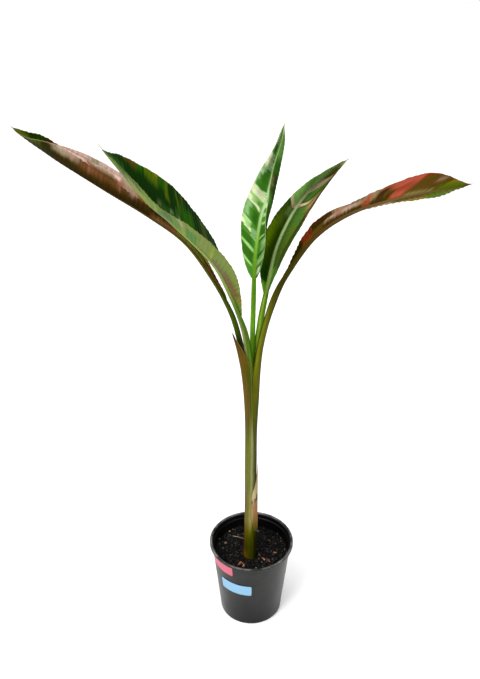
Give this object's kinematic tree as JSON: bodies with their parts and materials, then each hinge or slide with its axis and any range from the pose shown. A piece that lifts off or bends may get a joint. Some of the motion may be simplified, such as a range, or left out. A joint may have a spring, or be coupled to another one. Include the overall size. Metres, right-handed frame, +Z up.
{
  "type": "potted banana plant",
  "caption": "Young variegated banana plant: leaves on channelled stalks rise from a trunk of wrapped sheaths that stands in potting mix in a tapered nursery pot.",
  "frame": {"origin": "centre of the flat underside of the pot, on the surface that it stands on", "axes": "+Z up along the pot's axis, +X to the right of the plant's front, towards the red-brown leaf, and +Y to its back"},
  "size_m": [0.5993, 0.2016, 0.8623],
  "materials": {
    "pot_plastic": "black thin-wall nursery plastic with a satin sheen",
    "pink_label": "plain pink adhesive label, matt",
    "blue_label": "plain light blue adhesive label, matt",
    "potting_mix": "dark moist bark potting mix with orange-brown chips",
    "corm_skin": "rough brown corm, hidden in the mix",
    "variegated_leaf": "fresh green blade with cream and white sectors, soft sheen",
    "green_leaf": "green and grey-green blade with pink-brown bands, soft sheen",
    "dark_leaf": "dark green blade, light green underside, soft sheen",
    "pink_brown_leaf": "pinkish tan underside that turns olive along the midrib, soft sheen",
    "red_brown_leaf": "red-brown rolled blade with pink bands, soft sheen",
    "tan_sheath": "tan to olive old leaf sheath, fibrous, matt",
    "dry_sheath": "dry pinkish-tan sheath, papery, matt"
  },
  "bodies": {
    "root": {"pot": "pot_plastic", "label_pink": "pink_label", "label_blue": "blue_label", "soil": "potting_mix", "corm": "corm_skin", "centre_leaf": "variegated_leaf", "mid_right_leaf": "green_leaf", "near_left_leaf": "dark_leaf", "far_left_leaf": "pink_brown_leaf", "far_right_leaf": "red_brown_leaf", "old_sheath": "tan_sheath", "dry_sheath": "dry_sheath"}
  },
  "joints": []
}
